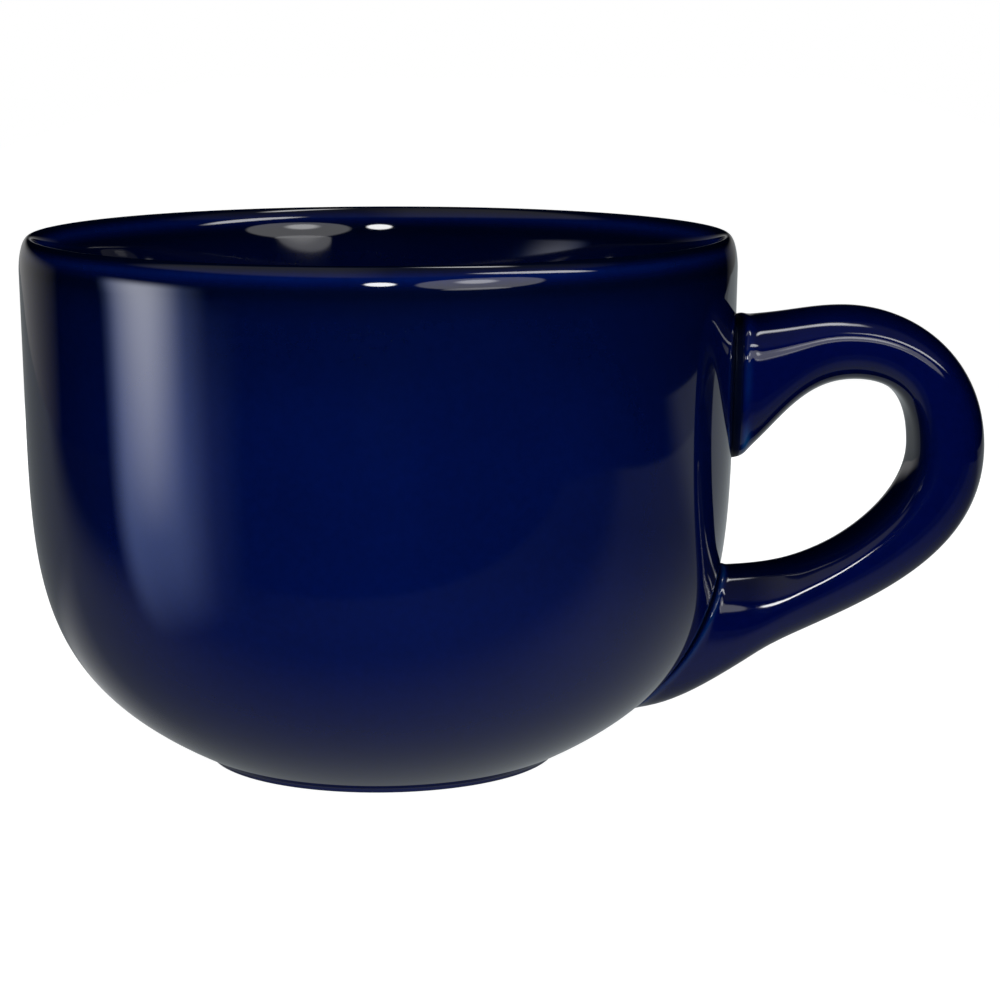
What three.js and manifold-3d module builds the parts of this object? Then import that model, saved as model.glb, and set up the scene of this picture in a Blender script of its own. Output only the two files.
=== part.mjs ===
import * as THREE from 'three';
import { mergeVertices } from 'three/addons/utils/BufferGeometryUtils.js';
import Module from 'manifold-3d';

const wasm = await Module();
wasm.setup();

// Wide glazed cup with an ear handle: millimetres and degrees, +Z up, the handle towards +X.
// Heights are from the table and radii from the bowl's own axis.

// Outside of the bowl
const rimDiameter = 108;
const cupHeight = 80;
const wallHeight = 25.6; // straight wall, from the shoulder up to the rim
const wallTaper = 0.8; // how much narrower the shoulder is than the rim, on the diameter
const footDiameter = 53.4;
const footHeight = 0.8; // upright edge of the foot
const bowlRiseAngle = 25.5; // slope of the bowl as it leaves the foot

// Inside of the bowl
const wallThickness = 4.9; // at the shoulder; it thins towards the lip
const floorThickness = 5;
const floorFlat = 24; // diameter of the flat in the middle of the floor

// Lip: how far its rounding runs down the wall, and how deep it goes from the wall to the crest
const lipOuterHeight = 5;
const lipOuterDepth = 1.5;
const lipInnerHeight = 5;
const lipInnerDepth = 1.8;

// Underside
const footRingWidth = 4.6;
const footRecess = 1.8;
const recessRound = 1.6; // rounding between the recess and the foot ring

// Handle from the side: distances out are beyond the rim, drops are below the rim
const handleReach = 39.5;
const reachDrop = 33.8; // outermost point
const apexOut = 17.4; // top of the bend
const apexDrop = 11.6;
const barThickness = 11.3;
const barLean = 1.2; // the inner edge's apex lies this much further out
const upperJointDrop = 13.3; // top edge of the upper joint
const upperJointHeight = 23.1;
const lowerJointTop = 28;
const lowerJointBottom = 5.5;
const armOut = 3.8; // station on the lower arm's underside
const armLift = 8.7; // that station above the lower joint's bottom edge
const armAngle = 32.7; // slope of the underside there
const innerArmOut = 13.1; // station on the lower arm's upper side
const innerArmLift = 2.3; // that station above the lower joint's top edge
const innerArmAngle = 20;

// Handle across
const barWidth = 14.8;
const upperJointWidth = 19.5;
const lowerJointWidth = 16;
const flare = { upper: 0.25, lower: 0.75 }; // shares of the handle's way beyond which it widens to a joint
const squareness = 3; // of the section, where 2 is oval

// Slip joints
const upperSlipWays = { inside: 0, outside: 0.2 }; // shares of the handle's way that hold the slip
const lowerSlipWays = { inside: 1, outside: 0.7 };
const slipThickness = 1;
const slipFillet = 1.2; // how far the slip is wiped out round the handle
const jointGap = 0.3; // clearance on each side of the slip

// Shape of the curves: how far a curve keeps a direction, as a share of its run
const bowlHold = { foot: 0.953, wall: 0.517 };
const hollowHold = { wall: 0.56, floor: 0.93 };
const lipHold = 0.55;

// Facets
const roundSteps = 72;
const bowlSteps = 18;
const roundingSteps = 5;
const spanSteps = 9;
const sectionSteps = 24;
const filletSteps = 5;
const wayPrecision = 1e-7;

const rimRadius = rimDiameter / 2;
const footRadius = footDiameter / 2;
const shoulderRadius = rimRadius - wallTaper / 2;
const shoulderHeight = cupHeight - wallHeight;
const lipFoot = cupHeight - lipOuterHeight;
const floorHeight = footRecess + floorThickness;
const crestRadius = rimRadius - lipOuterDepth;

const point = (x, y) => new THREE.Vector2(x, y);
const heading = (degrees) => point(1, 0).rotateAround(point(0, 0), THREE.MathUtils.degToRad(degrees));
const wallRun = point(rimRadius - shoulderRadius, lipFoot - shoulderHeight).normalize();

// Inner side of the wall: it narrows from the lip's inner foot down to the shoulder.
const hollowTop = point(crestRadius - lipInnerDepth, cupHeight - lipInnerHeight);
const hollowShoulder = point(shoulderRadius - wallThickness, shoulderHeight);
const hollowRun = hollowShoulder.clone().sub(hollowTop).normalize();

// Cubic curve that leaves one point along a direction and arrives at another along a direction.
function blend(from, leave, leavePull, to, arrive, arrivePull) {
  const first = from.clone().addScaledVector(leave, leavePull);
  const second = to.clone().addScaledVector(arrive, -arrivePull);
  return new THREE.CubicBezierCurve(from, first, second, to);
}

// Quarter of an upright ellipse, from a start angle in degrees.
function quarter(centreX, centreY, radiusX, radiusY, start, clockwise) {
  const from = THREE.MathUtils.degToRad(start);
  const to = from + (clockwise ? -Math.PI / 2 : Math.PI / 2);
  return new THREE.EllipseCurve(centreX, centreY, radiusX, radiusY, from, to, clockwise);
}

// Underside: the recess from the axis out to the flat foot ring.
function undersideProfile() {
  const recessEdge = footRadius - footRingWidth - recessRound;
  const rounding = quarter(recessEdge, 0, recessRound, footRecess, 90, true);
  return [point(0, footRecess), ...rounding.getPoints(roundingSteps), point(footRadius, 0)];
}

// Outer side of the bowl, from the foot's edge up the curve and the straight wall to the lip.
function outerProfile() {
  const rise = heading(bowlRiseAngle);
  const footPull = (bowlHold.foot * (shoulderRadius - footRadius)) / rise.x;
  const wallPull = bowlHold.wall * (shoulderHeight - footHeight);
  const foot = point(footRadius, footHeight);
  const shoulder = point(shoulderRadius, shoulderHeight);
  const curve = blend(foot, rise, footPull, shoulder, wallRun, wallPull);
  return [...curve.getPoints(bowlSteps), point(rimRadius, lipFoot)];
}

// Rounded lip, from the outer wall over the crest to the inner wall.
function lipProfile() {
  const crest = point(crestRadius, cupHeight);
  const outer = quarter(crestRadius, lipFoot, lipOuterDepth, lipOuterHeight, 0, false);
  const [inwards, downwards] = [lipHold * lipInnerDepth, lipHold * lipInnerHeight];
  const inner = blend(crest, heading(180), inwards, hollowTop, hollowRun, downwards);
  return [...outer.getPoints(roundingSteps).slice(1), ...inner.getPoints(roundingSteps).slice(1)];
}

// Hollow of the bowl, from the shoulder down to the middle of the floor.
function hollowProfile() {
  const flatEdge = point(floorFlat / 2, floorHeight);
  const wallPull = hollowHold.wall * (shoulderHeight - floorHeight);
  const floorPull = hollowHold.floor * (hollowShoulder.x - flatEdge.x);
  const curve = blend(hollowShoulder, hollowRun, wallPull, flatEdge, heading(180), floorPull);
  return [...curve.getPoints(bowlSteps), point(0, floorHeight)];
}

// Closed mesh as a solid, without the triangles that shrink to a line on the axis.
function solidOf(geometry) {
  geometry.deleteAttribute('normal');
  geometry.deleteAttribute('uv');
  const merged = mergeVertices(geometry);
  const corners = merged.index.array;
  const kept = [];
  for (let k = 0; k < corners.length; k += 3) {
    const [a, b, c] = corners.slice(k, k + 3);
    if (a !== b && b !== c && c !== a) kept.push(a, b, c);
  }
  const vertProperties = merged.attributes.position.array;
  const triVerts = new Uint32Array(kept);
  return new wasm.Manifold(new wasm.Mesh({ numProp: 3, vertProperties, triVerts }));
}

// Solid turned from a profile of radius and height, stood up along Z.
function turned(profile) {
  const geometry = new THREE.LatheGeometry(profile, roundSteps);
  geometry.rotateX(Math.PI / 2);
  return solidOf(geometry);
}

const outerSide = outerProfile();

// Distance of a place from the bowl's outer side, negative inside the bowl.
function distanceFromBowl(place) {
  const spot = point(Math.hypot(place.x, place.y), place.z);
  let nearest = Infinity;
  outerSide.slice(1).forEach((to, k) => {
    const run = to.clone().sub(outerSide[k]);
    const away = spot.clone().sub(outerSide[k]);
    const share = THREE.MathUtils.clamp(away.dot(run) / run.lengthSq(), 0, 1);
    away.addScaledVector(run, -share);
    const side = Math.sign(away.cross(run));
    if (away.length() < Math.abs(nearest)) nearest = side * away.length();
  });
  return nearest;
}

// Radius of the bowl's outer side at a height.
function bowlRadiusAt(height) {
  const k = outerSide.findIndex((spot) => spot.y >= height);
  const [below, above] = [outerSide[k - 1], outerSide[k]];
  return THREE.MathUtils.mapLinear(height, below.y, above.y, below.x, above.x);
}

// The bowl's outer side grown by a distance and filled, to cut what seats on the bowl.
function grownBowl(distance) {
  const grown = outerSide.map((spot, k) => {
    const before = outerSide[Math.max(k - 1, 0)];
    const after = outerSide[Math.min(k + 1, outerSide.length - 1)];
    const run = after.clone().sub(before).normalize();
    return point(spot.x + distance * run.y, spot.y - distance * run.x);
  });
  return turned([point(0, grown[0].y), ...grown, point(0, grown.at(-1).y)]);
}

// Curves of one handle edge through its stations. Before and after are how far the curves on
// each side keep the station's direction, as a share of the straight way to the next station.
function edgeThrough(stations) {
  return stations.slice(1).map((to, k) => {
    const from = stations[k];
    const span = from.at.distanceTo(to.at);
    const [leave, arrive] = [heading(from.along), heading(to.along)];
    return blend(from.at, leave, from.after * span, to.at, arrive, to.before * span);
  });
}

// Where an edge of the handle ends: at the inner side of the wall, at a height.
const wallEnd = (height) => point(bowlRadiusAt(height) - wallThickness, height);

const apexHeight = cupHeight - apexDrop;
const reachHeight = cupHeight - reachDrop;
const upperJointTop = cupHeight - upperJointDrop;
const outerReach = rimRadius + handleReach;

// Outer edge: out of the wall, over the bend and along the underside of the lower arm.
const outerArm = point(rimRadius + armOut, lowerJointBottom + armLift);
const outerEdge = edgeThrough([
  { at: wallEnd(upperJointTop), along: 0, after: 0.59 },
  { at: point(rimRadius + apexOut, apexHeight), along: 0, before: 0.27, after: 0.355 },
  { at: point(outerReach, reachHeight), along: -90, before: 0.444, after: 0.436 },
  { at: outerArm, along: armAngle - 180, before: 0.226, after: 0.565 },
  { at: wallEnd(lowerJointBottom), along: 180, before: 0.403 },
]);

// Inner edge: the same way round, along the finger gap.
const innerApex = point(rimRadius + apexOut + barLean, apexHeight - barThickness);
const innerArm = point(rimRadius + innerArmOut, lowerJointTop + innerArmLift);
const innerEdge = edgeThrough([
  { at: wallEnd(upperJointTop - upperJointHeight), along: -6, after: 0.353 },
  { at: innerApex, along: 0, before: 0.435, after: 0.373 },
  { at: point(outerReach - barThickness, reachHeight), along: -90, before: 0.597, after: 0.27 },
  { at: innerArm, along: innerArmAngle - 180, before: 0.43, after: 0.305 },
  { at: wallEnd(lowerJointTop), along: 180, before: 0.5 },
]);

const spans = outerEdge.length;

// Point of an edge at a share of the way, each span taking the same share.
function edgePoint(edge, way) {
  const span = Math.min(Math.floor(way * spans), spans - 1);
  return edge[span].getPoint(way * spans - span);
}

// Point of the handle's skin at a share of the way and an angle round its section, pushed outwards
// by a distance. The section is a rectangle rounded all over, and it widens towards both joints.
function handleSkin(way, angle, push) {
  const outer = edgePoint(outerEdge, way);
  const inner = edgePoint(innerEdge, way);
  const across = outer.clone().sub(inner);
  const nearUpper = 1 - THREE.MathUtils.smoothstep(way, 0, flare.upper);
  const nearLower = THREE.MathUtils.smoothstep(way, flare.lower, 1);
  const upperWidening = (upperJointWidth - barWidth) * nearUpper;
  const lowerWidening = (lowerJointWidth - barWidth) * nearLower;
  const halfWidth = (barWidth + upperWidening + lowerWidening) / 2 + push;
  const halfHeight = across.length() / 2 + push;
  const rounded = (share) => Math.sign(share) * Math.abs(share) ** (2 / squareness);
  const lift = halfHeight * rounded(Math.cos(angle));
  const spot = outer.lerp(inner, 0.5).addScaledVector(across.normalize(), lift);
  return new THREE.Vector3(spot.x, halfWidth * rounded(Math.sin(angle)), spot.y);
}

// Solid skinned over rings with the same number of points each, with flat ends.
function skinned(rings) {
  const sides = sectionSteps;
  const corners = [];
  for (let start = 0; start < (rings.length - 1) * sides; start += sides) {
    for (let k = 0; k < sides; k += 1) {
      const a = start + k;
      const b = start + ((k + 1) % sides);
      corners.push(a, b + sides, b, a, a + sides, b + sides);
    }
  }
  const last = (rings.length - 1) * sides;
  for (let k = 1; k < sides - 1; k += 1) {
    corners.push(0, k, k + 1, last, last + k + 1, last + k);
  }
  const geometry = new THREE.BufferGeometry().setFromPoints(rings.flat());
  geometry.setIndex(corners);
  return solidOf(geometry);
}

const sectionAngles = Array.from({ length: sectionSteps }, (_, k) => (2 * Math.PI * k) / sectionSteps);
const ringAt = (way, push) => sectionAngles.map((angle) => handleSkin(way, angle, push));

// Share of the way at which a line along the handle's skin stands a distance off the bowl.
function wayAtDistance(angle, distance, insideWay, outsideWay) {
  let [inside, outside] = [insideWay, outsideWay];
  while (Math.abs(outside - inside) > wayPrecision) {
    const middle = (inside + outside) / 2;
    if (distanceFromBowl(handleSkin(middle, angle, 0)) < distance) inside = middle;
    else outside = middle;
  }
  return outside;
}

// Slip pad under one end of the handle: a collar with a hollow fillet, trimmed to the bowl's curve.
function slipPad(ways) {
  const { inside: insideWay, outside: outsideWay } = ways;
  const collar = [ringAt(insideWay, slipFillet)];
  for (let k = 0; k <= filletSteps; k += 1) {
    const turn = (Math.PI / 2) * (k / filletSteps);
    const level = jointGap + slipThickness * (1 - Math.cos(turn));
    const push = slipFillet * (1 - Math.sin(turn));
    const ring = sectionAngles.map((angle) => {
      const way = wayAtDistance(angle, level, insideWay, outsideWay);
      return handleSkin(way, angle, push);
    });
    collar.push(ring);
  }
  collar.push(ringAt(outsideWay, 0));
  const skin = skinned(insideWay < outsideWay ? collar : collar.reverse());
  return skin.intersect(grownBowl(jointGap + slipThickness)).subtract(grownBowl(jointGap));
}

// Handle with both ends cut to the bowl's curve, clear of the slip.
function earHandle() {
  const rings = Array.from({ length: spans * spanSteps + 1 }, (_, k) => ringAt(k / (spans * spanSteps), 0));
  return skinned(rings).subtract(grownBowl(slipThickness + 2 * jointGap));
}

const solids = {
  cup_body: turned([...undersideProfile(), ...outerSide, ...lipProfile(), ...hollowProfile()]),
  handle: earHandle(),
  upper_joint_slip: slipPad(upperSlipWays),
  lower_joint_slip: slipPad(lowerSlipWays),
};

const cup = new THREE.Group();
cup.position.x = -handleReach / 2; // the origin lies under the middle of the whole length
for (const [name, solid] of Object.entries(solids)) {
  const { vertProperties, triVerts } = solid.getMesh();
  const geometry = new THREE.BufferGeometry();
  geometry.setAttribute('position', new THREE.BufferAttribute(vertProperties, 3));
  geometry.setIndex(new THREE.BufferAttribute(triVerts, 1));
  const cobaltGlaze = new THREE.MeshStandardMaterial({ color: 0x0a1c66, roughness: 0.08, metalness: 0 });
  const piece = new THREE.Mesh(geometry, cobaltGlaze);
  piece.name = name;
  cup.add(piece);
}

const latteCup = new THREE.Group();
latteCup.add(cup);

export default latteCup;
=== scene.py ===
from math import cos, pi, radians, sin

import bmesh
import bpy
import numpy as np
from mathutils import Euler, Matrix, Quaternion, Vector


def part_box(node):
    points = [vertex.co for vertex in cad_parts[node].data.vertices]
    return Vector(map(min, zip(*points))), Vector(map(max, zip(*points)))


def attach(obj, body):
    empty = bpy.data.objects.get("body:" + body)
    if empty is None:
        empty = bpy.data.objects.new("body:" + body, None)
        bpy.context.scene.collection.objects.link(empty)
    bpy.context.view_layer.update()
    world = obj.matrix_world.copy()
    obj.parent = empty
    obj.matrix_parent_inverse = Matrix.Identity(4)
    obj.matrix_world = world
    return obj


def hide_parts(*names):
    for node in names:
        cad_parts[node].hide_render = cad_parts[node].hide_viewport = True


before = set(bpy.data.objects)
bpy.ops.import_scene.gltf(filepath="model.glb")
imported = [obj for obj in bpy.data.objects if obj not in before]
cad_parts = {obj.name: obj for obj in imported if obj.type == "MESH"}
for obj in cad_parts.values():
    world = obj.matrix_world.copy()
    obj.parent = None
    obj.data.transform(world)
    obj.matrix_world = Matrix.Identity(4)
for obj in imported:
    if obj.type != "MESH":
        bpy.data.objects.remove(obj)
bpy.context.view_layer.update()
mm = 0.001
weld = 0.002 * mm   # points closer than this become one

# main sizes in mm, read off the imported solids; shapes are worked out from the cup's axis
bodyLow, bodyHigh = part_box("cup_body")
axisX = (bodyLow.x + bodyHigh.x) / 2
rimRadius = (bodyHigh.x - bodyLow.x) / 2 / mm
cupHeight = bodyHigh.z / mm
handleReach = (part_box("handle")[1].x - axisX) / mm
print("frame loaded, rim", round(2 * rimRadius, 1), "mm")


def toLinear(code):
    parts = [int(code[k:k + 2], 16) / 255 for k in (1, 3, 5)]
    return [p / 12.92 if p <= 0.04045 else ((p + 0.055) / 1.055) ** 2.4 for p in parts] + [1]


def addNode(tree, kind, links=None, **settings):
    node = tree.nodes.new(kind)
    for name, value in settings.items():
        setattr(node, name, value)
    for socket, value in (links or {}).items():
        if isinstance(value, bpy.types.NodeSocket):
            tree.links.new(value, node.inputs[socket])
        else:
            node.inputs[socket].default_value = value
    return node


def newMaterial(name):
    material = bpy.data.materials.new(name)
    material.use_nodes = True
    material.node_tree.nodes.clear()
    return material


# glazed stoneware: a thick coat of cobalt glass, deep and mirror smooth, paler where it runs thin
glazeLook = {
    "deep": "#021049",       # full coat
    "earDeep": "#010a45",    # the handle took more of it
    "pooledAndShaded": "#01061b",     # where it gathers, and painted shade on the rim and in the joints
    "thinning": "#00036f", "thin": "#19619a",   # where it draws back, at first and at last
    "cloud": 18,             # mm, slow change in the coat
    "grain": 1.1,            # mm, cobalt specks
    "wave": 14,              # mm, slight swell of the surface
    "waveHeight": 0.012,     # mm
    "mottle": (0.7, 1.3), "mottleDepth": (0.88, 1.12),   # how far cloud and grain change the colour
    "gloss": 0.035, "earGloss": 0.06,                    # roughness of the clear coat
    "dullFrom": 0.9, "dullGloss": 0.4,                   # slip shows through the fullest pools in the joints
    "clearShine": 0.5, "dullShine": 0.08, "shineFalls": 0.1,
}


def glazedStoneware(name, deep, gloss, dullPools):
    material = newMaterial(name)
    tree = material.node_tree
    place = addNode(tree, "ShaderNodeTexCoord").outputs["Object"]
    cloud = addNode(tree, "ShaderNodeTexNoise", {
        "Vector": place, "Scale": 1 / (glazeLook["cloud"] * mm), "Detail": 3, "Roughness": 0.5})
    grain = addNode(tree, "ShaderNodeTexNoise", {
        "Vector": place, "Scale": 1 / (glazeLook["grain"] * mm), "Detail": 2, "Roughness": 0.6})
    mottle = addNode(tree, "ShaderNodeMath", {0: cloud.outputs[0], 1: grain.outputs[0]}, operation="ADD")
    depth = addNode(tree, "ShaderNodeMapRange", {
        "Value": mottle.outputs[0],
        "From Min": glazeLook["mottle"][0], "From Max": glazeLook["mottle"][1],
        "To Min": glazeLook["mottleDepth"][0], "To Max": glazeLook["mottleDepth"][1]})
    # one attribute carries both the gathered coat and painted shade
    pooledAndShaded = addNode(tree, "ShaderNodeAttribute", attribute_name="pooledGlazeAndShade")
    thin = addNode(tree, "ShaderNodeAttribute", attribute_name="thinGlaze")
    # a mix node takes its colours at sockets 6 and 7 and gives the mixed one at output 2
    coat = addNode(tree, "ShaderNodeMix", {
        0: pooledAndShaded.outputs["Fac"], 6: toLinear(deep), 7: toLinear(glazeLook["pooledAndShaded"])}, data_type="RGBA")
    pale = addNode(tree, "ShaderNodeMix", {
        0: thin.outputs["Fac"], 6: toLinear(glazeLook["thinning"]), 7: toLinear(glazeLook["thin"])},
        data_type="RGBA")
    drawn = addNode(tree, "ShaderNodeMix", {
        0: thin.outputs["Fac"], 6: coat.outputs[2], 7: pale.outputs[2]}, data_type="RGBA")
    tinted = addNode(tree, "ShaderNodeVectorMath", {0: drawn.outputs[2], "Scale": depth.outputs[0]},
                     operation="SCALE")
    wave = addNode(tree, "ShaderNodeTexNoise", {
        "Vector": place, "Scale": 1 / (glazeLook["wave"] * mm), "Detail": 1, "Roughness": 0.4})
    swell = addNode(tree, "ShaderNodeBump", {
        "Height": wave.outputs[0], "Distance": glazeLook["waveHeight"] * mm, "Strength": 1})
    surface = {"Roughness": gloss}
    if dullPools:
        rough = addNode(tree, "ShaderNodeMapRange", {
            "Value": pooledAndShaded.outputs["Fac"], "From Min": glazeLook["dullFrom"], "From Max": 1,
            "To Min": gloss, "To Max": glazeLook["dullGloss"]})
        shine = addNode(tree, "ShaderNodeMapRange", {
            "Value": rough.outputs[0],
            "From Min": glazeLook["shineFalls"], "From Max": glazeLook["dullGloss"],
            "To Min": glazeLook["clearShine"], "To Max": glazeLook["dullShine"]})
        surface = {"Roughness": rough.outputs[0], "Specular IOR Level": shine.outputs[0]}
    glass = addNode(tree, "ShaderNodeBsdfPrincipled", {
        "Base Color": tinted.outputs[0], "IOR": 1.5, "Normal": swell.outputs[0], **surface})
    addNode(tree, "ShaderNodeOutputMaterial", {"Surface": glass.outputs[0]})
    return material


# bare stoneware: the wiped foot ring, dry and matt, sandy with darker grit
clayLook = {
    "body": "#b7a68c", "grit": "#7d6a52", "gritSize": 0.7, "gritFrom": (0.5, 0.72),
    "toothHeight": 0.03, "dryness": 0.85,
}


def bareStoneware():
    material = newMaterial("bare stoneware, wiped and fired")
    tree = material.node_tree
    place = addNode(tree, "ShaderNodeTexCoord").outputs["Object"]
    grit = addNode(tree, "ShaderNodeTexNoise", {
        "Vector": place, "Scale": 1 / (clayLook["gritSize"] * mm), "Detail": 3, "Roughness": 0.7})
    spots = addNode(tree, "ShaderNodeMapRange", {
        "Value": grit.outputs[0], "From Min": clayLook["gritFrom"][0], "From Max": clayLook["gritFrom"][1]})
    colour = addNode(tree, "ShaderNodeMix", {
        0: spots.outputs[0], 6: toLinear(clayLook["body"]), 7: toLinear(clayLook["grit"])},
        data_type="RGBA")
    tooth = addNode(tree, "ShaderNodeBump", {
        "Height": grit.outputs[0], "Distance": clayLook["toothHeight"] * mm, "Strength": 1})
    fired = addNode(tree, "ShaderNodeBsdfPrincipled", {
        "Base Color": colour.outputs[2], "Roughness": clayLook["dryness"], "IOR": 1.5,
        "Normal": tooth.outputs[0]})
    addNode(tree, "ShaderNodeOutputMaterial", {"Surface": fired.outputs[0]})
    return material


bodyGlaze = glazedStoneware("glazed stoneware, dipped in cobalt",
                            glazeLook["deep"], glazeLook["gloss"], dullPools=False)
earGlaze = glazedStoneware("glazed stoneware, dipped twice in cobalt",
                           glazeLook["earDeep"], glazeLook["earGloss"], dullPools=True)
clay = bareStoneware()
print("finishes ready")


def heading(degrees):
    return np.array([cos(radians(degrees)), sin(radians(degrees))])


def unit(vector):
    return vector / np.linalg.norm(vector)


def cubic(start, leave, arrive, end, steps):
    t = np.linspace(0, 1, steps + 1)[:, None]
    return (start * (1 - t) ** 3 + 3 * (start + leave) * t * (1 - t) ** 2
            + 3 * (end - arrive) * t ** 2 * (1 - t) + end * t ** 3)


def arc(centre, radii, first, last, steps):
    turns = np.radians(np.linspace(first, last, steps + 1))
    return np.stack([centre[0] + radii[0] * np.cos(turns), centre[1] + radii[1] * np.sin(turns)], 1)


def smooth(low, high, value):
    t = np.clip((value - low) / (high - low), 0, 1)
    return t * t * (3 - 2 * t)


def paintCoat(piece, name, values):
    layer = piece.data.attributes.new(name, "FLOAT", "POINT")
    layer.data.foreach_set("value", np.asarray(values, np.float32))


def finishPiece(piece, name, node, finish):
    bpy.ops.object.mode_set(mode="OBJECT")
    bpy.ops.object.shade_smooth()
    piece.name = piece.data.name = name
    piece.data.materials.append(finish)
    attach(piece, "root")
    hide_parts(node)
    print(name, len(piece.data.polygons), "faces")


# cup body, mm
bowl = {
    "wallHeight": 25.6, "wallTaper": 0.8, "wallThickness": 4.9,
    "footDiameter": 53.4, "footHeight": 0.7, "footRound": 0.3,
    "riseAngle": 25.5, "bowlHold": (0.953, 0.517),
    "floorThickness": 5, "floorFlat": 24, "hollowHold": (0.56, 0.93),
    "lipOuter": (1.5, 5), "lipInner": (1.8, 5), "lipHold": 0.55,
    "ringWidth": 4.6, "recess": 1.8, "recessRound": 1.6,
    "bareBelow": 0.02,                             # what touches the kiln shelf has no glaze
    "filletRise": 0.1, "filletHold": (0.3, 0.7),   # where the foot runs into the bowl
    "turns": 192, "bowlSteps": 60, "wallPoints": 9, "lipSteps": 18, "sinkSteps": 48,
    "thinAt": 1.7, "thinSpread": 0.7, "thinAmount": 0.16,   # pale line just below the rim
    # depth below the rim and how dark the coat is there: partly glaze gathered below the lip, partly painted
    # shade on the crest and the upper wall against a lighter lower bowl
    "poolAndShadeDepth": (0, 0.5, 1, 1.6, 2.6, 3.4, 4.2, 5.9, 9, 12, 15, 20, 27, 40, 48),
    "poolAndShadeAmount": (1, 1, 0.6, 0.1, 0.55, 0.9, 0.88, 0.62, 0.46, 0.45, 0.38, 0.25, 0.15, 0.13, 0),
}
footRadius = bowl["footDiameter"] / 2
crestRadius = rimRadius - bowl["lipOuter"][0]
lipBottom = np.array([rimRadius, cupHeight - bowl["lipOuter"][1]])
shoulder = np.array([rimRadius - bowl["wallTaper"] / 2, cupHeight - bowl["wallHeight"]])
footTop = np.array([footRadius, bowl["footHeight"]])
wallRun = unit(lipBottom - shoulder)
bowlSpan = shoulder - footTop
bowlRise = heading(bowl["riseAngle"])
bowlCurve = cubic(footTop, bowlRise * bowl["bowlHold"][0] * bowlSpan[0] / bowlRise[0],
                  wallRun * bowl["bowlHold"][1] * bowlSpan[1], shoulder, bowl["bowlSteps"])
wallShares = np.linspace(0, 1, bowl["wallPoints"])[:, None]
wallCurve = shoulder + (lipBottom - shoulder) * wallShares


def underside():
    ringInner = footRadius - bowl["ringWidth"]
    edge = bowl["footRound"]
    flatEnd = ringInner - bowl["recessRound"]
    flat = np.stack([np.linspace(0, flatEnd, 8), np.full(8, bowl["recess"])], 1)
    hollow = arc((flatEnd, 0), (bowl["recessRound"], bowl["recess"]), 90, 16, 10)   # stops short of the edge
    innerEdge = arc((ringInner + edge, edge), (edge, edge), 180, 270, 5)
    outerEdge = arc((footRadius - edge, edge), (edge, edge), 270, 360, 5)
    ring = innerEdge[-1] + (outerEdge[0] - innerEdge[-1]) * np.linspace(0, 1, 5)[1:-1, None]
    fillet = cubic(np.array([footRadius, edge + bowl["filletRise"]]), heading(90) * bowl["filletHold"][0],
                   unit(bowlCurve[2] - bowlCurve[1]) * bowl["filletHold"][1], bowlCurve[1], 6)
    return np.concatenate([flat, hollow[1:], innerEdge, ring, outerEdge, fillet])


def lipAndInside():
    crest = np.array([crestRadius, cupHeight])
    top = np.array([crestRadius - bowl["lipInner"][0], cupHeight - bowl["lipInner"][1]])
    inner = np.array([shoulder[0] - bowl["wallThickness"], shoulder[1]])
    run = unit(inner - top)
    floorEdge = np.array([bowl["floorFlat"] / 2, bowl["recess"] + bowl["floorThickness"]])
    fall = inner - floorEdge
    outerLip = arc((crestRadius, lipBottom[1]), bowl["lipOuter"], 0, 90, bowl["lipSteps"])
    innerLip = cubic(crest, heading(180) * bowl["lipHold"] * bowl["lipInner"][0],
                     run * bowl["lipHold"] * bowl["lipInner"][1], top, bowl["lipSteps"])
    straight = top + (inner - top) * wallShares
    sink = cubic(inner, run * bowl["hollowHold"][0] * fall[1],
                 heading(180) * bowl["hollowHold"][1] * fall[0], floorEdge, bowl["sinkSteps"])
    floor = floorEdge * np.linspace(1, 0, 6)[1:, None] * np.array([1, 0]) + np.array([0, floorEdge[1]])
    return np.concatenate([outerLip[1:], innerLip[1:], straight[1:], sink[1:], floor])


def spinBody():
    profile = np.concatenate([underside(), bowlCurve[2:], wallCurve[1:], lipAndInside()])
    bpy.ops.object.select_all(action="DESELECT")
    bpy.ops.mesh.primitive_plane_add(size=mm)
    body = bpy.context.object
    bpy.ops.object.mode_set(mode="EDIT")
    bpy.ops.mesh.merge(type="CENTER")
    bpy.ops.transform.translate(value=(axisX, 0, profile[0][1] * mm))
    for step in np.diff(profile, axis=0) * mm:
        bpy.ops.mesh.extrude_region_move(TRANSFORM_OT_translate={"value": (step[0], 0, step[1])})
    bpy.ops.mesh.select_all(action="SELECT")
    bpy.ops.mesh.spin(steps=bowl["turns"], angle=2 * pi, center=(axisX, 0, 0), axis=(0, 0, 1))
    bpy.ops.mesh.select_all(action="SELECT")
    bpy.ops.mesh.remove_doubles(threshold=weld)
    bpy.ops.mesh.normals_make_consistent(inside=False)
    finishPiece(body, "cupBody", "cup_body", bodyGlaze)
    body.data.materials.append(clay)
    places = np.array([v.co for v in body.data.vertices]) / mm
    depth = cupHeight - places[:, 2]
    # darker coat by depth below the rim: gathered glaze and painted shade
    paintCoat(body, "pooledGlazeAndShade", np.interp(depth, bowl["poolAndShadeDepth"], bowl["poolAndShadeAmount"]))
    paintCoat(body, "thinGlaze",
              bowl["thinAmount"] * np.exp(-((depth - bowl["thinAt"]) / bowl["thinSpread"]) ** 2))
    for face in body.data.polygons:
        centre = face.center / mm
        radius = np.hypot(centre.x - axisX / mm, centre.y)
        if centre.z < bowl["bareBelow"] and radius > footRadius - bowl["ringWidth"]:
            face.material_index = 1


spinBody()

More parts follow.
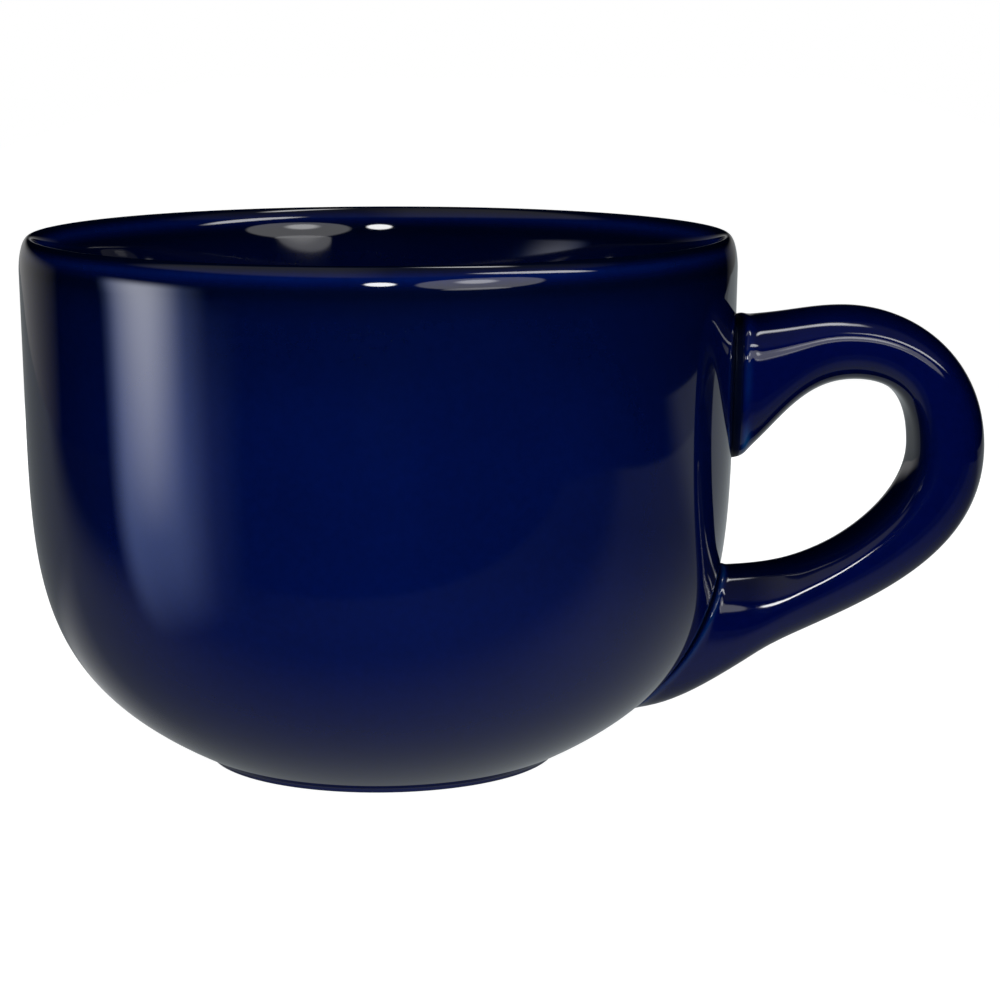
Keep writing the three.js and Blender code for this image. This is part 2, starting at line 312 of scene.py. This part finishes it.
# ear handle, mm: two edge curves through stations, joined by a section between oval and square
# station: radius, height, direction of travel, pull before, pull after; radius None ends inside the wall
ear = {
    "outerEdge": (
        (None, cupHeight - 13.3, 0, 0, 0.59),
        (71.4, cupHeight - 11.6, 0, 0.27, 0.355),
        (handleReach, cupHeight - 33.8, -90, 0.444, 0.436),
        (57.8, 14.2, 32.7 - 180, 0.226, 0.565),
        (None, 5.5, 180, 0.403, 0)),
    "innerEdge": (
        (None, 43.6, -6, 0, 0.353),
        (72.6, 57.1, 0, 0.435, 0.373),
        (handleReach - 11.3, cupHeight - 33.8, -90, 0.597, 0.27),
        (67.1, 30.3, 20 - 180, 0.43, 0.305),
        (None, 28, 180, 0.5, 0)),
    # by the share of the way: width, and how square the section is on either side, where 2 is oval
    "width": ((0, 0.08, 0.22, 0.35, 0.5, 0.62, 0.8, 0.92, 1),
              (19.5, 18.5, 15.8, 15, 15.2, 14.8, 12.8, 13.2, 14.2)),
    "outerSquare": ((0, 0.1, 0.15, 0.2, 0.25, 0.3, 0.7, 1), (3.4, 3.4, 3.2, 2.6, 2.2, 2.1, 2.2, 2.4)),
    "fingerSquare": ((0, 0.3, 0.4, 0.58, 0.68, 1), (2.3, 2.3, 3.6, 3.6, 2.3, 2.2)),
    "spokes": 72, "rings": 110,
    # ways at a joint: inside the wall, where the search for the wall ends, where the joint ends
    "upperJoint": (0, 0.14, 0.2), "lowerJoint": (1, 0.7, 0.72),
    "upperSpread": 1, "lowerSpread": 0.6,
    "fillet": 0.4, "slipDepth": (0.8, 0.7),   # slip wiped into the corner, how far it goes into wall and bar
    "groove": 0.45, "grooveSpread": 0.9,      # the bar's end is rounded down to the corner
    "beadAt": 2.1, "beadSpread": 0.8, "bead": 0.25,   # glaze drawn up beside it
    # where the dark coat in a joint ends: glaze gathered in the groove, and painted shade there
    "paleAt": 2.2, "paleSpread": 0.75, "poolAndShadeEnds": (1.2, 1.9), "darkerSidesFrom": (2, 4),
    "coatSquare": 3,   # one section for the whole coat, midway to square
    # how thin the coat is there, by the place on the section: -1 finger side, 1 outer side
    "upperPale": ((-1, -0.75, -0.4, 0.1, 0.8), (0.85, 0.7, 0.08, 0.3, 0.16)),
    "lowerPale": ((-1, 0, 1), (0.45, 0.4, 0.4)),
    # the coat is darker towards the outer and the finger side of the bar
    "darkerSides": ((-0.97, -0.75, -0.4, 0.6, 0.95), (0.85, 0.5, 0, 0, 0.5)),
}
outside = np.concatenate([bowlCurve, wallCurve[1:]])
outsideSlope = np.gradient(outside[:, 0], outside[:, 1])
spokeTurns = np.arange(ear["spokes"]) * 2 * pi / ear["spokes"]


def bulge(share, square):
    return np.sign(share) * np.abs(share) ** (2 / square)


sectionLift = bulge(np.cos(spokeTurns), ear["coatSquare"])


def wallEnd(height):
    return np.array([np.interp(height, outside[:, 1], outside[:, 0]) - bowl["wallThickness"], height])


def edgeSpans(stations):
    places = [wallEnd(s[1]) if s[0] is None else np.array(s[:2]) for s in stations]
    spans = []
    for k in range(len(places) - 1):
        gap = np.linalg.norm(places[k + 1] - places[k])
        leave = heading(stations[k][2]) * stations[k][4] * gap
        arrive = heading(stations[k + 1][2]) * stations[k + 1][3] * gap
        spans.append((places[k], places[k] + leave, places[k + 1] - arrive, places[k + 1]))
    return np.array(spans)


earOuter = edgeSpans(ear["outerEdge"])
earInner = edgeSpans(ear["innerEdge"])


def alongEdge(spans, way):
    span = np.minimum((way * len(spans)).astype(int), len(spans) - 1)
    t = (way * len(spans) - span)[:, None]
    a, b, c, d = (spans[span, k] for k in range(4))
    return a * (1 - t) ** 3 + 3 * b * t * (1 - t) ** 2 + 3 * c * t ** 2 * (1 - t) + d * t ** 3


def easedTable(way, at, values):
    steps, reach = 101, 10
    shares = np.linspace(0, 1, steps)
    sharp = np.pad(np.interp(shares, at, values), reach, mode="edge")
    window = 2 * reach + 1
    return np.interp(way, shares, np.convolve(sharp, np.ones(window) / window, mode="valid"))


def earSkin(way, push):
    outer = alongEdge(earOuter, way)
    inner = alongEdge(earInner, way)
    middle = (outer + inner) / 2
    half = (outer - inner) / 2
    size = np.linalg.norm(half, axis=1)
    square = np.where(np.cos(spokeTurns) > 0, easedTable(way, *ear["outerSquare"]),
                      easedTable(way, *ear["fingerSquare"]))
    upright = middle + half / size[:, None] * ((size + push) * bulge(np.cos(spokeTurns), square))[:, None]
    across = (easedTable(way, *ear["width"]) / 2 + push) * bulge(np.sin(spokeTurns), square)
    return np.stack([upright[:, 0], across, upright[:, 1]], 1)


def gapToBowl(places):
    radius = np.hypot(places[:, 0], places[:, 1])
    slope = np.interp(places[:, 2], outside[:, 1], outsideSlope)
    return (radius - np.interp(places[:, 2], outside[:, 1], outside[:, 0])) / np.sqrt(1 + slope ** 2)


def waysAtGap(gap, push, inWay, outWay):
    near = np.full(ear["spokes"], float(inWay))
    far = np.full(ear["spokes"], float(outWay))
    halvings = 40
    for k in range(halvings):
        middle = (near + far) / 2
        short = gapToBowl(earSkin(middle, push)) < gap
        near = np.where(short, middle, near)
        far = np.where(short, far, middle)
    return (near + far) / 2


def beadPush(gap, spread):
    near = max(gap, 0) / spread
    swell = ear["bead"] * np.exp(-((near - ear["beadAt"]) / ear["beadSpread"]) ** 2)
    return swell - ear["groove"] * np.exp(-(near / ear["grooveSpread"]) ** 2)


def extrudeRings(rings, coats, closed):
    bpy.ops.object.select_all(action="DESELECT")
    bpy.ops.mesh.primitive_circle_add(vertices=ear["spokes"], radius=mm)
    piece = bpy.context.object
    bpy.ops.object.mode_set(mode="EDIT")
    bpy.ops.mesh.select_all(action="SELECT")
    mesh = bmesh.from_edit_mesh(piece.data)
    mesh.verts.ensure_lookup_table()
    spoke = mesh.verts.layers.int.new("spoke")
    for number, vert in enumerate(mesh.verts):
        vert[spoke] = number
    for name in coats:
        mesh.verts.layers.float.new(name)
    for number, ring in enumerate(rings):
        if number:
            bpy.ops.mesh.extrude_region_move()
        mesh = bmesh.from_edit_mesh(piece.data)
        spoke = mesh.verts.layers.int["spoke"]
        layers = [(mesh.verts.layers.float[name], values[number]) for name, values in coats.items()]
        for vert in mesh.verts:
            if vert.select:
                spot = ring[vert[spoke]]
                vert.co = (spot[0] * mm + axisX, spot[1] * mm, spot[2] * mm)
                for layer, value in layers:
                    vert[layer] = value[vert[spoke]]
        if not closed and number in (0, len(rings) - 1):
            bpy.ops.mesh.edge_face_add()   # flat ends, inside the wall
            if number == 0:
                for face in mesh.faces:
                    face.select = False
                for vert in mesh.verts:
                    vert.select = True
                mesh.select_flush(True)
    bpy.ops.mesh.select_all(action="SELECT")
    bpy.ops.mesh.remove_doubles(threshold=weld)
    bpy.ops.mesh.normals_make_consistent(inside=False)
    bpy.ops.object.mode_set(mode="OBJECT")
    piece.data.attributes.remove(piece.data.attributes["spoke"])
    return piece


# rings at a joint by their distance from the wall, closest where the groove and the bead are
jointGaps = (-1.2, -0.6, *(k / 5 for k in range(-1, 13)), 2.7, 3, 3.4, 3.8, 4.3)
blendRings = 12
darkerSides = np.interp(sectionLift, *ear["darkerSides"])
noCoat = np.zeros(ear["spokes"])


def jointRings(side):
    inWay, outWay, blendWay = ear[side + "Joint"]
    spread = ear[side + "Spread"]
    amount = np.interp(sectionLift, *ear[side + "Pale"])
    rings, pale, pooledAndShaded = [], [], []
    for near in jointGaps:
        push = beadPush(near * spread, spread)
        ways = waysAtGap(near * spread, push, inWay, outWay)
        rings.append(earSkin(ways, push))
        pale.append(amount * np.exp(-((near - ear["paleAt"]) / ear["paleSpread"]) ** 2))
        # painted shade in the groove together with the glaze gathered there, and the darker sides of the bar
        pooledAndShaded.append(np.maximum(darkerSides * smooth(*ear["darkerSidesFrom"], near),
                                 1 - smooth(*ear["poolAndShadeEnds"], near)))
    for share in np.linspace(0, 1, blendRings + 1)[1:]:
        rings.append(earSkin(ways + (blendWay - ways) * share, 0))
        pale.append(noCoat)
        pooledAndShaded.append(darkerSides)
    return rings, pale, pooledAndShaded


def buildEar():
    upper = jointRings("upper")
    lower = jointRings("lower")
    ways = np.linspace(ear["upperJoint"][2], ear["lowerJoint"][2], ear["rings"])[1:-1]
    middle = [earSkin(np.full(ear["spokes"], way), 0) for way in ways]
    coats = (middle, [noCoat] * len(middle), [darkerSides] * len(middle))
    rings, pale, pooledAndShaded = ([*a, *b, *c[::-1]] for a, b, c in zip(upper, coats, lower))
    piece = extrudeRings(rings, {"thinGlaze": pale, "pooledGlazeAndShade": pooledAndShaded}, closed=False)
    finishPiece(piece, "earHandle", "handle", earGlaze)


def buildSlip(name, node, side):
    fillet = ear["fillet"]
    inWall, inBar = ear["slipDepth"]
    inWay, outWay = ear[side + "Joint"][:2]
    section = []
    for turn in np.linspace(0, pi / 2, 9):
        gap = fillet * (1 - cos(turn))
        section.append((gap, fillet * (1 - sin(turn)) + beadPush(gap, ear[side + "Spread"])))
    section += [(fillet, -inBar), (-inWall, -inBar), (-inWall, fillet), section[0]]
    rings = [earSkin(waysAtGap(gap, push, inWay, outWay), push) for gap, push in section]
    # the slip in the groove is fully dark: gathered glaze and painted shade
    coats = {"thinGlaze": [noCoat] * len(rings), "pooledGlazeAndShade": [noCoat + 1] * len(rings)}
    piece = extrudeRings(rings, coats, closed=True)
    finishPiece(piece, name, node, earGlaze)


buildEar()
buildSlip("upperSlip", "upper_joint_slip", "upper")
buildSlip("lowerSlip", "lower_joint_slip", "lower")
print("pieces built")

# the photo is taken with the handle turned a little away: camera and studio are set out in the
# camera's own directions and then turned round the cup's axis
shotTurn = radians(-5)


def inShot(spot):
    turned = Vector(spot)
    turned.rotate(Euler((0, 0, shotTurn)))
    return turned


# white table top: the camera sees plain white with the cup's soft shadow, the glaze sees a dimmer grey
# fades: direction from the axis, from which mm to which, and the share of light at either end
table = {
    "left": -320, "right": 400, "front": -300, "back": 3000,   # edges, mm from the axis
    "white": 0.97, "shade": "#9f9f9f", "grey": "#b4b4b4",
    "glow": 0.205, "glowTint": "#f2fbff",                      # what the glaze sees
    "falls": (((0.03, 1, 0), -80, -38, 0.25, 1),               # to the front
              ((1, 0, 0), 60, 200, 1, 0.5),                    # to the right
              ((1, 0.9, 0), -210, -110, 0.03, 1)),             # in the shade of the light box
    "ends": (((0.13, 1, 0), -132, -120), ((-1, 0.13, 0), -305, -292), ((-0.81, 0.59, 0), -292, -272)),
    "backGlow": 1, "backPatch": (((1, 0, 0), 20, 100), ((0, 1, 0), 40, 120)),   # painted light, paler behind the handle
    "nearGlow": 0.13, "near": (40, 0), "nearReach": 100,       # a painted pool of light beside the foot
    "through": (((1, 0, 0), -20, -60), ((0, 1, 0), 60, 20)),   # where the light box shows through
}


def layTable():
    bpy.ops.object.select_all(action="DESELECT")
    bpy.ops.mesh.primitive_plane_add(size=1)
    top = bpy.context.object
    bpy.ops.object.mode_set(mode="EDIT")
    bpy.ops.transform.resize(value=((table["right"] - table["left"]) * mm,
                                    (table["back"] - table["front"]) * mm, 1))
    bpy.ops.transform.translate(value=((table["left"] + table["right"]) / 2 * mm,
                                       (table["front"] + table["back"]) / 2 * mm, 0))
    bpy.ops.object.mode_set(mode="OBJECT")
    top.name = "tableTop"
    top.location.x = axisX
    top.rotation_euler.z = shotTurn
    material = newMaterial("painted board, rolled matt white")
    tree = material.node_tree
    spot = addNode(tree, "ShaderNodeTexCoord").outputs["Object"]

    def fades(*rows):
        light = 1
        for way, start, end, *shares in rows:
            first, last = shares or (0, 1)
            along = addNode(tree, "ShaderNodeVectorMath", {0: spot, 1: way}, operation="DOT_PRODUCT")
            fade = addNode(tree, "ShaderNodeMapRange", {
                "Value": along.outputs["Value"], "From Min": start * mm, "From Max": end * mm,
                "To Min": first, "To Max": last}, interpolation_type="SMOOTHSTEP")
            light = addNode(tree, "ShaderNodeMath", {0: fade.outputs[0], 1: light},
                            operation="MULTIPLY").outputs[0]
        return light

    path = addNode(tree, "ShaderNodeLightPath").outputs
    paint = addNode(tree, "ShaderNodeBsdfDiffuse", {"Color": toLinear(table["shade"])})
    bright = addNode(tree, "ShaderNodeEmission", {"Color": toLinear("#ffffff"), "Strength": table["white"]})
    shown = addNode(tree, "ShaderNodeAddShader", {0: bright.outputs[0], 1: paint.outputs[0]})
    even = addNode(tree, "ShaderNodeMath", {
        0: fades(*table["backPatch"]), 1: table["backGlow"], 2: fades(*table["falls"], *table["ends"])},
        operation="MULTIPLY_ADD")
    fromNear = addNode(tree, "ShaderNodeVectorMath", {
        0: spot, 1: (table["near"][0] * mm, table["near"][1] * mm, 0)}, operation="DISTANCE")
    near = addNode(tree, "ShaderNodeMapRange", {
        "Value": fromNear.outputs["Value"], "From Max": table["nearReach"] * mm,
        "To Min": table["nearGlow"], "To Max": 0}, interpolation_type="SMOOTHSTEP")
    strength = addNode(tree, "ShaderNodeMath", {0: even.outputs[0], 1: table["glow"], 2: near.outputs[0]},
                       operation="MULTIPLY_ADD")
    plain = addNode(tree, "ShaderNodeEmission", {
        "Color": toLinear(table["glowTint"]), "Strength": strength.outputs[0]})
    # the glaze also mirrors the lower half of the light box
    clear = addNode(tree, "ShaderNodeBsdfTransparent", {"Color": fades(*table["through"])})
    glow = addNode(tree, "ShaderNodeAddShader", {0: plain.outputs[0], 1: clear.outputs[0]})
    grey = addNode(tree, "ShaderNodeBsdfDiffuse", {"Color": toLinear(table["grey"])})
    mirrored = addNode(tree, "ShaderNodeMath", {0: path["Is Glossy Ray"], 1: path["Is Transmission Ray"]},
                       operation="MAXIMUM")
    others = addNode(tree, "ShaderNodeMixShader", {
        0: mirrored.outputs[0], 1: grey.outputs[0], 2: glow.outputs[0]})
    seen = addNode(tree, "ShaderNodeMixShader", {
        0: path["Is Camera Ray"], 1: others.outputs[0], 2: shown.outputs[0]})
    addNode(tree, "ShaderNodeOutputMaterial", {"Surface": seen.outputs[0]})
    top.data.materials.append(material)


# room that the glaze mirrors: a ceiling before the cup, darker at the right, and a low pale wall behind
# ramps: from which share of the direction to which, and the light at either end
room = {
    "ceiling": ("Z", 0.42, 0.52, 0, 0.38),
    "ceilingFront": ("Y", 0.1, -0.2, 0, 1),
    "ceilingRight": ("X", -0.2, 0.15, 1, 0.3),
    "wallLow": ("Z", 0.12, 0, 0, 1),
    "wallWay": (-0.25, 1, 0), "wallFrom": (0.7, 1.03), "wall": 0.36,
    "fill": 0.12,   # light on the coat from all round
}


def studioRoom():
    world = bpy.data.worlds.new("studio room")
    bpy.context.scene.world = world
    world.use_nodes = True
    tree = world.node_tree
    tree.nodes.clear()
    path = addNode(tree, "ShaderNodeLightPath").outputs
    toward = addNode(tree, "ShaderNodeVectorRotate", {
        "Vector": addNode(tree, "ShaderNodeTexCoord").outputs["Generated"], "Angle": -shotTurn},
        rotation_type="Z_AXIS").outputs[0]
    split = addNode(tree, "ShaderNodeSeparateXYZ", {0: toward})
    backward = addNode(tree, "ShaderNodeVectorMath", {0: toward, 1: room["wallWay"]},
                       operation="DOT_PRODUCT")
    wall = addNode(tree, "ShaderNodeMapRange", {
        "Value": backward.outputs["Value"], "From Min": room["wallFrom"][0], "From Max": room["wallFrom"][1],
        "To Max": room["wall"]}).outputs[0]

    def ramps(light, *names):
        for axis, start, end, first, last in (room[name] for name in names):
            ramp = addNode(tree, "ShaderNodeMapRange", {
                "Value": split.outputs[axis], "From Min": start, "From Max": end,
                "To Min": first, "To Max": last}, interpolation_type="SMOOTHSTEP")
            light = addNode(tree, "ShaderNodeMath", {0: ramp.outputs[0], 1: light},
                            operation="MULTIPLY").outputs[0]
        return light

    around = addNode(tree, "ShaderNodeMath", {
        0: ramps(1, "ceiling", "ceilingFront", "ceilingRight"), 1: ramps(wall, "wallLow")}, operation="ADD")
    mirrored = addNode(tree, "ShaderNodeMath", {0: path["Is Glossy Ray"], 1: path["Is Transmission Ray"]},
                       operation="MAXIMUM")
    unseen = addNode(tree, "ShaderNodeMix", {0: mirrored.outputs[0], 2: room["fill"], 3: around.outputs[0]})
    level = addNode(tree, "ShaderNodeMix", {0: path["Is Camera Ray"], 2: unseen.outputs[0], 3: 1.0})
    sky = addNode(tree, "ShaderNodeBackground", {
        "Color": toLinear("#ffffff"), "Strength": level.outputs[0]})
    addNode(tree, "ShaderNodeOutputWorld", {"Surface": sky.outputs[0]})


# left light box, which only the glaze mirrors: a white tube behind a blue-grey cloth with a skirt
# mm from its middle: between which places the light sets in from each side
leftBox = {
    "at": (-223, -97, 56), "half": 180, "lean": 0.2,   # its left edge leans
    "tube": {"level": 4.8, "tint": "#fcfcff",
             "right": (-58, 3), "left": (75, 5), "low": (-75, -2), "high": (49, 22)},
    "cloth": {"level": 2.1, "tint": "#9fb7ff",
              "right": (-95, -25), "left": (88, 45), "low": (-165, -40), "high": (49, 22)},
    "skirt": {"level": 0.55, "tint": "#9fb7ff",
              "right": (-150, -60), "left": (88, 45), "low": (-170, -58), "high": (5, -45)},
}

# light panels that only the glaze mirrors: place from the axis in mm, half sizes, strength, even share
panels = {
    "rightPanel": {"at": (381, -587, 245), "half": (268, 95), "level": 1.9, "core": 0.9},
    "rightBulb": {"at": (366, -597, 271), "half": (100, 44), "level": 5.5, "core": 0.5},
    "rightStand": {"at": (361, -600, 161), "half": (140, 14), "level": 2, "core": 0.9},
    "frontLamp": {"at": (36, -900, 311), "half": (84, 48), "level": 22, "core": 0.75},
    "upperStrip": {"at": (520, -392, 408), "half": (290, 42), "level": 9, "core": 0.6, "roll": 20},
    "overLamp": {"at": (215, -135, 716), "half": (85, 210), "level": 10, "core": 0.3},
}
panelAim = (0, -20, 70)


def hideCard(card):   # the glaze alone mirrors it
    card.visible_camera = card.visible_diffuse = card.visible_shadow = card.visible_transmission = False


def hangPanel(name, panel):
    bpy.ops.object.select_all(action="DESELECT")
    bpy.ops.mesh.primitive_circle_add(vertices=64, radius=1, fill_type="NGON")
    card = bpy.context.object
    card.name = name
    spot = inShot(panel["at"])
    card.location = spot * mm + Vector((axisX, 0, 0))
    roll = Quaternion((0, 0, 1), radians(panel.get("roll", 0)))
    card.rotation_euler = ((inShot(panelAim) - spot).to_track_quat("Z", "Y") @ roll).to_euler()
    card.scale = (panel["half"][0] * mm, panel["half"][1] * mm, 1)
    material = newMaterial("lamp cloth, " + name)
    tree = material.node_tree
    place = addNode(tree, "ShaderNodeTexCoord").outputs["Object"]
    out = addNode(tree, "ShaderNodeVectorMath", {0: place}, operation="LENGTH")
    level = addNode(tree, "ShaderNodeMapRange", {
        "Value": out.outputs["Value"], "From Min": panel["core"], "From Max": 1,
        "To Min": panel["level"], "To Max": 0}, interpolation_type="SMOOTHSTEP")
    cloth = addNode(tree, "ShaderNodeEmission", {"Color": toLinear("#ffffff"), "Strength": level.outputs[0]})
    clear = addNode(tree, "ShaderNodeBsdfTransparent", {"Color": toLinear("#ffffff")})
    both = addNode(tree, "ShaderNodeAddShader", {0: cloth.outputs[0], 1: clear.outputs[0]})
    addNode(tree, "ShaderNodeOutputMaterial", {"Surface": both.outputs[0]})
    card.data.materials.append(material)
    hideCard(card)


def hangBox():
    bpy.ops.object.select_all(action="DESELECT")
    bpy.ops.mesh.primitive_plane_add(size=2 * leftBox["half"] * mm)
    card = bpy.context.object
    card.name = "leftBox"
    spot = inShot(leftBox["at"])
    card.location = spot * mm + Vector((axisX, 0, 0))
    card.rotation_euler = (inShot(panelAim) - spot).to_track_quat("Z", "Y").to_euler()
    material = newMaterial("lamp cloth, light box")
    tree = material.node_tree
    place = addNode(tree, "ShaderNodeTexCoord").outputs["Object"]
    lit = addNode(tree, "ShaderNodeBsdfTransparent", {"Color": toLinear("#ffffff")})
    ways = {"right": (1, 0, 0), "left": (1, -leftBox["lean"], 0), "low": (0, 1, 0), "high": (0, 1, 0)}
    for layer in (leftBox["tube"], leftBox["cloth"], leftBox["skirt"]):
        level = layer["level"]
        for edge, way in ways.items():
            along = addNode(tree, "ShaderNodeVectorMath", {0: place, 1: way}, operation="DOT_PRODUCT")
            rise = addNode(tree, "ShaderNodeMapRange", {
                "Value": along.outputs["Value"],
                "From Min": layer[edge][0] * mm, "From Max": layer[edge][1] * mm},
                interpolation_type="SMOOTHSTEP")
            level = addNode(tree, "ShaderNodeMath", {0: rise.outputs[0], 1: level},
                            operation="MULTIPLY").outputs[0]
        shine = addNode(tree, "ShaderNodeEmission", {"Color": toLinear(layer["tint"]), "Strength": level})
        lit = addNode(tree, "ShaderNodeAddShader", {0: lit.outputs[0], 1: shine.outputs[0]})
    addNode(tree, "ShaderNodeOutputMaterial", {"Surface": lit.outputs[0]})
    card.data.materials.append(material)
    hideCard(card)


# soft lamps that light the coat itself: place from the axis in mm, size, watts
lamps = {
    "frontSoft": {"at": (20, -360, 60), "size": 160, "power": 0.83},
    "topSoft": {"at": (-60, -120, 520), "size": 300, "power": 0.08},
    "bowlSoft": {"at": (0, -10, 170), "size": 80, "power": 0.05},
    "backSoft": {"at": (-40, 380, 90), "size": 200, "power": 0.6},
}
lampAim = (0, 0, 40)


def hangLamp(name, lamp):
    bpy.ops.object.light_add(type="AREA")
    light = bpy.context.object
    light.name = name
    spot = inShot(lamp["at"])
    light.location = spot * mm + Vector((axisX, 0, 0))
    light.rotation_euler = (Vector(lampAim) - spot).to_track_quat("-Z", "Y").to_euler()
    light.data.shape = "DISK"
    light.data.size = lamp["size"] * mm
    light.data.energy = lamp["power"]
    light.visible_glossy = light.visible_camera = light.visible_transmission = False


layTable()
studioRoom()
hangBox()
for name, panel in panels.items():
    hangPanel(name, panel)
for name, lamp in lamps.items():
    hangLamp(name, lamp)
print("studio set")

# camera where the photo was taken: slightly above the rim, dipped a little, close to square on
shot = {"at": (18.18, -460, 118.97), "dip": 0.172, "lens": 109.65, "sensor": 36}   # mm, the dip in radians
bpy.ops.object.camera_add(location=inShot(shot["at"]) * mm + Vector((axisX, 0, 0)),
                          rotation=(pi / 2 - shot["dip"], 0, shotTurn))
camera = bpy.context.object
camera.data.lens = shot["lens"]
camera.data.sensor_width = shot["sensor"]
bpy.context.scene.camera = camera
bpy.context.scene.view_settings.view_transform = "Standard"
